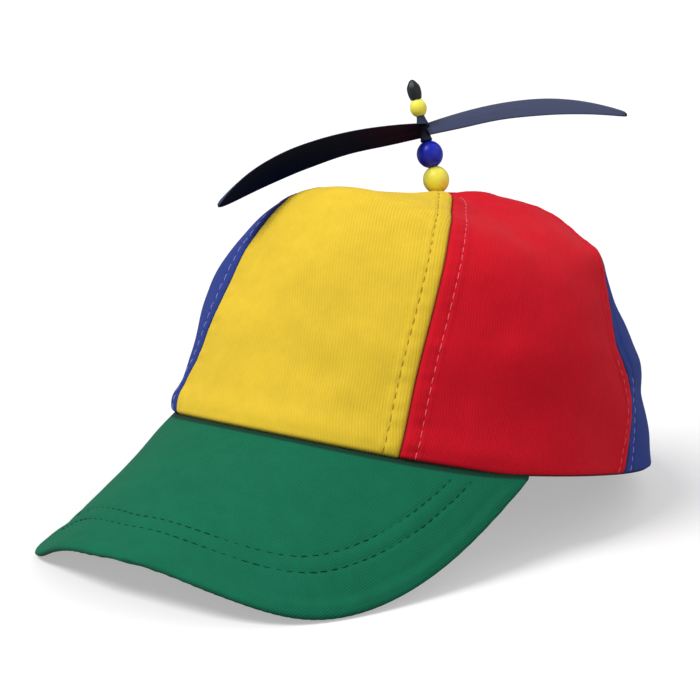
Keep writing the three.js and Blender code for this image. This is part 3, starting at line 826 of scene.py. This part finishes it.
def peak_piece():
    """The peak's cloth: a grid wrapped over its board, round the edge and back under."""
    bm, shares = new_grid(*PEAK_GRID)
    share = shares[..., 0] * 2 - 1
    round_the_section = shares[..., 1] * 2
    under = round_the_section > 1
    part = np.where(under, 2 - round_the_section, round_the_section)
    part = 1 - (1 - part) ** PEAK_CROWDING
    angle = share * PEAK_ARC
    inner_forward = (HALF_LENGTH - PEAK_TUCK) * np.cos(angle)
    inner_left = (HALF_WIDTH - PEAK_TUCK) * np.sin(angle)
    outer_forward, outer_left = cloth_edge(share)
    forward = inner_forward + (outer_forward - inner_forward) * part
    left = inner_left + (outer_left - inner_left) * part
    length = np.hypot(outer_forward - inner_forward, outer_left - inner_left)
    flat = developed(forward, left)
    away = from_edge(flat)
    from_rim = 1 - np.clip(away / PEAK_EDGE_RADIUS, 0, 1)
    roundness = np.sqrt(np.clip(1 - from_rim**2, 0, 1))
    half = PEAK_THICK / 2 * roundness
    middle = point(forward, left, peak_height(forward, left, 0))
    from_crown = part * length
    relief = peak_relief(away, from_crown, middle, from_edge(before_run_off(flat)))
    offset = np.where(under, -half - 0.2 * relief, half + relief * roundness)
    place(bm, resting(peak_point(forward, left, offset + sag(forward, left))))
    lay_uv(bm, "weave", flat[..., 0], flat[..., 1])
    # Painted shade along the peak's rounded rim and on its underside near the edge, set through the
    # edges map.
    lay_uv(bm, "edges", 0.45 + 0.55 * away, from_crown)
    close(bm, 1e-6)
    # Painted shadow: a dark band on the peak next to the crown, where the hem overhangs it.
    cloth = twill_cloth("green_twill", GREEN, turn=-0.16, pitch=0.0009, depth=0.3, patchiness=0.5,
                        crease=0.7, hem_reach=2.7)
    return finish(bm, "peak_cloth", cloth, ("peak",))


def row_on_peak(away):
    """Points and normals of a line on the peak at a distance from its outer edge."""
    tangent = unit(np.gradient(edge_line, axis=0))
    flat = edge_line + away * np.stack([tangent[:, 1], -tangent[:, 0]], -1)
    clear = from_edge(flat) > away - 0.05
    flat[:, 0] = run_off(flat[:, 0])
    clear &= from_edge(flat) > 1.2
    forward, left = from_developed(flat)
    clear &= (forward / HALF_LENGTH) ** 2 + (left / HALF_WIDTH) ** 2 > 1.0
    ahead = np.maximum(forward - PEAK_CENTRE, 0) / PEAK_LENGTH
    clear &= ahead**PEAK_ROUND + (np.abs(left) / PEAK_HALF) ** PEAK_ROUND < 1
    forward, left = forward[clear], left[clear]
    height = PEAK_THICK / 2 - 0.3 + sag(forward, left)
    line = peak_point(forward, left, height)
    return line, peak_point(forward, left, height + 1) - line


# The stack on the pin.
def turned_piece(rows, segments):
    """A closed solid turned about the pin's line from rows of radius and height."""
    bm = bmesh.new()
    verts = [bm.verts.new((radius * MM, 0, height * MM)) for radius, height in rows]
    edges = [bm.edges.new((a, b)) for a, b in zip(verts, verts[1:])]
    bmesh.ops.spin(bm, geom=verts + edges, cent=(0, 0, 0), axis=(0, 0, 1), angle=2 * math.pi,
                   steps=segments, use_merge=True)
    bmesh.ops.remove_doubles(bm, verts=bm.verts, dist=1e-7)
    return bm


def on_stack(bm, turn=0.0):
    """Moves a mesh from upright at the origin to the leaning pin, turned about it."""
    bmesh.ops.transform(bm, matrix=STACK @ Matrix.Rotation(turn, 4, "Z"), verts=bm.verts)
    bmesh.ops.recalc_face_normals(bm, faces=bm.faces)
    return bm


def bead_profile(radius, middle):
    """A moulded bead with a rounded bore's mouth and a fine parting line round its middle."""
    bore = PIN_RADIUS + GAP
    mouth = math.asin((bore + 0.35) / radius)
    tall = (radius - BEAD_FLAT + BEAD_MEET) / math.cos(mouth)
    rows = []
    for angle in np.linspace(-math.pi / 2 + mouth, math.pi / 2 - mouth, 61):
        seam = 0.035 * math.exp(-((angle / 0.035) ** 2))
        rows.append((radius * math.cos(angle) + seam, middle + tall * math.sin(angle)))
    low, high = rows[0][1], rows[-1][1]
    ends = [(bore + 0.08, low + 0.06), (bore, low + 0.3)]
    far = [(bore, high - 0.3), (bore + 0.08, high - 0.06)]
    return ends + [(bore, middle)] + far, rows


def bead(name, radius, middle, material, node):
    inside, outside = bead_profile(radius, middle)
    rows = inside + outside[::-1] + [inside[0]]
    bm = on_stack(turned_piece(rows, 72))
    return finish(bm, name, material, (node,))


def blade_mesh():
    """One blade along +X from the pin's line: a thin, twisted and drooping leaf."""
    bm, shares = new_grid(*BLADE_GRID)
    round_the_leaf, reach = shares[..., 0] * 2 * math.pi, shares[..., 1]
    reach = 1 - (1 - reach) ** TIP_CROWDING
    across = (1 - np.cos(round_the_leaf)) / 2
    face = np.sign(np.sin(round_the_leaf)) * np.abs(np.sin(round_the_leaf)) ** BLADE_BLUNTNESS
    lens = 1 - (2 * across - 1) ** 2
    low, high = -lowered(reach) * BLADE_CHORD, raised(reach) * BLADE_CHORD
    wide = low + (high - low) * across
    thin = np.minimum(1, (high - low) / 3.0)
    half = (BLADE_EDGE + (BLADE_THICK - BLADE_EDGE) * lens) / 2 * thin
    rib = ridge(wide, *BLADE_RIB) * (1 - ease(*RIB_FADE, reach))
    off = BLADE_CAMBER * lens + face * (half + rib)
    drop = BLADE_DROOP * reach**BLADE_DROOP_POWER
    points = np.stack([
        reach * BLADE_RADIUS,
        wide * math.cos(BLADE_PITCH) - off * math.sin(BLADE_PITCH),
        wide * math.sin(BLADE_PITCH) + off * math.cos(BLADE_PITCH) - drop + hub_bottom + BLADE_ROOT,
    ], -1)
    for vert, at in zip(bm.verts, points.reshape(-1, 3) * MM):
        vert.co = at
    close(bm, 2e-6)
    return bm


def joined(first, others):
    """One closed mesh from overlapping closed ones."""
    made = [new_object(bm, f"blank_{index}") for index, bm in enumerate([first] + others)]
    for other in made[1:]:
        union = made[0].modifiers.new("union", "BOOLEAN")
        union.operation = "UNION"
        union.solver = "EXACT"
        union.object = other
    whole = made[0].evaluated_get(bpy.context.evaluated_depsgraph_get()).to_mesh()
    bm = bmesh.new()
    bm.from_mesh(whole)
    for blank in made:
        bpy.data.meshes.remove(blank.data)
    return bm


base_middle = BASE_CLEARANCE + BEAD_RADIUS
spacer_middle = base_middle + 2 * (BEAD_RADIUS - BEAD_FLAT) + GAP
hub_bottom = spacer_middle + BEAD_RADIUS - BEAD_FLAT + GAP
top_middle = hub_bottom + HUB_HEIGHT + GAP + TOP_BEAD_RADIUS - BEAD_FLAT
finial_bottom = top_middle + TOP_BEAD_RADIUS - BEAD_FLAT + GAP


def hub_mesh():
    """The hub: a rimmed foot, a waist between the blades and a narrowing neck."""
    bore, top = PIN_RADIUS + GAP, hub_bottom + HUB_HEIGHT
    foot, shoulder = hub_bottom - BEAD_MEET, top - HUB_SHOULDER
    rows = [(bore, foot), (HUB_RADIUS - 0.6, foot)]
    rows += [(HUB_RADIUS - inset, hub_bottom + rise) for inset, rise in HUB_FOOT]
    rows += [(HUB_RADIUS - inset, shoulder + rise) for inset, rise in HUB_WAIST]
    rows += [(HUB_NECK - 0.15, top - 1.3), (HUB_NECK - 0.45, top + BEAD_MEET)]
    rows += [(bore, top + BEAD_MEET), (bore, foot)]
    return turned_piece(rows, 48)


def propeller(material):
    """Two blades and their hub, and a UV map that says how far each place looks up, which sets the
    painted light on the upper faces.
    """
    other, half_turn = blade_mesh(), Matrix.Rotation(math.pi, 3, "Z")
    bmesh.ops.rotate(other, cent=(0, 0, 0), matrix=half_turn, verts=other.verts)
    bm = joined(hub_mesh(), [blade_mesh(), other])
    bm.normal_update()
    layer = bm.loops.layers.uv.new("lit_upper")
    for face in bm.faces:
        for loop in face.loops:
            loop[layer].uv = (float(ease(-0.1, 0.5, loop.vert.normal.z)), 0)
    piece = finish(on_stack(bm, BLADE_REST), "propeller_moulding", material,
                   ("propeller",), body="propeller")
    piece.data.set_sharp_from_angle(angle=50 * RAD)
    return piece


def finial(material):
    """The pointed end: a narrow foot, an eight-sided belly and a blunt tip."""
    rows = [(0, finial_bottom)] + [(radius * FINIAL_LENGTH, finial_bottom + height * FINIAL_LENGTH)
                                   for height, radius in FINIAL_OUTLINE]
    bm = turned_piece(rows, 10 * FINIAL_SIDES)
    half_side = math.pi / FINIAL_SIDES
    for vert in bm.verts:
        turn = math.atan2(vert.co.y, vert.co.x) % (2 * half_side) - half_side
        side = math.cos(half_side) / math.cos(turn)
        vert.co.x *= side
        vert.co.y *= side
    piece = finish(on_stack(bm), "finial_tip", material, ("finial",))
    piece.data.set_sharp_from_angle(angle=28 * RAD)
    return piece


# Building.
# How far up a row of topstitching goes.
TO_TOP, LOW, NO_ROW = 200, 42, 0
# How far a seam's folded edges lift the cloth: on most, and beside the red and blue seam.
LIFT, LIFT_RED, LIFT_BLUE = 0.32, 0.5, -0.1
# Each panel: its two seams, cloth and solid; then, for each seam, the topstitching and the lift.
PANELS = (
    ("front_panel", "front_right", "front_left", "cloth_yellow", "crown_front",
     (NO_ROW, TO_TOP), (LIFT, LIFT)),
    ("left_panel", "front_left", "rear_left", "cloth_red", "crown_left",
     (TO_TOP, LOW), (LIFT, LIFT_RED)),
    ("back_left_panel", "rear_left", "back", "cloth_blue", "crown_back_left",
     (LOW, TO_TOP), (LIFT_BLUE, LIFT)),
    ("back_right_panel", "back_round", "rear_right", "cloth_red", "crown_back_right",
     (TO_TOP, TO_TOP), (LIFT, LIFT)),
    ("right_panel", "rear_right", "front_right", "cloth_blue", "crown_right",
     (TO_TOP, TO_TOP), (LIFT, LIFT)),
)
# Each cloth's crease value sets how strong its painted shade is in the seams and along the hem.
cloths = {
    "cloth_yellow": twill_cloth("yellow_twill", YELLOW, turn=-0.3, depth=0.17, crease=0.35),
    "cloth_red": twill_cloth("red_twill", RED, turn=0.03, depth=0.14),
    "cloth_blue": twill_cloth("blue_twill", BLUE, turn=0.03, depth=0.14, crease=0.8),
}
threads = {
    "cloth_yellow": thread("olive_thread", linear(190, 158, 46)),
    "cloth_red": thread("pink_thread", linear(255, 112, 124)),
    "cloth_blue": thread("periwinkle_thread", linear(168, 170, 240)),
    "cloth_green": thread("dark_green_thread", linear(14, 80, 56)),
}
for index, (name, start, end, slot, node, heights, lifts) in enumerate(PANELS):
    panel = crown_panel(name, start, end, cloths[slot], node, 20 + index * 2, lifts)
    rows = [(40 + 2 * index + side, row_on_panel(panel, SEAM_STITCH, side == 0, height))
            for side, height in enumerate(heights) if height]
    stitch_piece(name.replace("panel", "stitches"), rows, threads[slot], slot)

peak_piece()
stitch_piece("peak_stitches", [(80 + k, row_on_peak(away)) for k, away in enumerate(PEAK_STITCHES)],
             threads["cloth_green"], "cloth_green")

bead_yellow = plastic("yellow_bead_plastic", linear(255, 246, 84), 0.42)
bead_blue = plastic("blue_bead_plastic", linear(22, 38, 190), 0.36, specular=0.3, coat=0.05)
bead("base_bead", BEAD_RADIUS, base_middle, bead_yellow, "bead_base")
bead("spacer_bead", BEAD_RADIUS, spacer_middle, bead_blue, "bead_spacer")
bead("top_bead", TOP_BEAD_RADIUS, top_middle, bead_yellow, "bead_top")
propeller(propeller_plastic())
finial(plastic("finial_plastic", linear(26, 33, 36), 0.5, specular=0.35))
frame["nodes"]["pin"].data.materials.clear()
frame["nodes"]["pin"].data.materials.append(pin_steel())


# Stage, light and camera.
def pale_floor():
    """A plain floor that looks pale to the camera, and throws less light back on the cap."""
    bm = bmesh.new()
    bmesh.ops.create_grid(bm, x_segments=1, y_segments=1, size=12)
    floor = new_object(bm, "floor")
    material, tree, shader = new_material("pale_floor", roughness=0.9, specular=0.1)
    here = own_place(tree)
    clouds = noise(tree, (-700, 0), here, 3, 2)
    shade = mix_colour(tree, (-500, 0), clouds, (0.56, 0.56, 0.56, 1), (0.58, 0.58, 0.58, 1))
    seen = add_node(tree, "ShaderNodeLightPath", (-700, 300)).outputs["Is Camera Ray"]
    shade = mix_colour(tree, (-300, 0), seen, (0.4, 0.4, 0.4, 1), shade)
    tree.links.new(shade, shader.inputs["Base Color"])
    glow = mix_colour(tree, (-300, -250), seen, (0, 0, 0, 1), (0.4, 0.4, 0.4, 1))
    tree.links.new(glow, shader.inputs["Emission Color"])
    shader.inputs["Emission Strength"].default_value = 1
    floor.data.materials.append(material)


def studio():
    """A white surround that lights softly, and three soft lamps."""
    world = bpy.data.worlds.new("studio")
    world.use_nodes = True
    tree = world.node_tree
    tree.nodes["Background"].inputs["Color"].default_value = (1, 1, 1, 1)
    seen = add_node(tree, "ShaderNodeLightPath", (-500, 0)).outputs["Is Camera Ray"]
    tree.links.new(math_node(tree, "MULTIPLY_ADD", (-300, 0), seen, 0.64, 0.36),
                   tree.nodes["Background"].inputs["Strength"])
    bpy.context.scene.world = world
    for name, direction, spread, strength in (
        ("key_light", (-0.32, -0.62, 1.0), 28, 2.5),
        ("side_light", (0.95, 0.05, 0.3), 60, 0.5),
        ("back_light", (0.2, 0.9, 0.9), 50, 0.5),
    ):
        lamp = bpy.data.lights.new(name, "SUN")
        lamp.angle = spread * RAD
        lamp.energy = strength
        light = bpy.data.objects.new(name, lamp)
        light.location = direction
        light.rotation_euler = Vector(direction).to_track_quat("Z", "Y").to_euler()
        bpy.context.scene.collection.objects.link(light)


def camera():
    """The camera at the photograph's place: its lens in millimetres, and its turn in degrees."""
    look_down, look_round = 12.97, 37.62
    lens = bpy.data.cameras.new("camera")
    lens.sensor_width = 36
    lens.lens = 124.17
    eye = bpy.data.objects.new("camera", lens)
    eye.location = (0.5201, -0.6843, 0.2601)
    eye.rotation_euler = Euler(((90 - look_down) * RAD, 0, look_round * RAD))
    bpy.context.scene.collection.objects.link(eye)
    bpy.context.scene.camera = eye


pale_floor()
studio()
camera()
bpy.context.scene.view_settings.view_transform = "Standard"
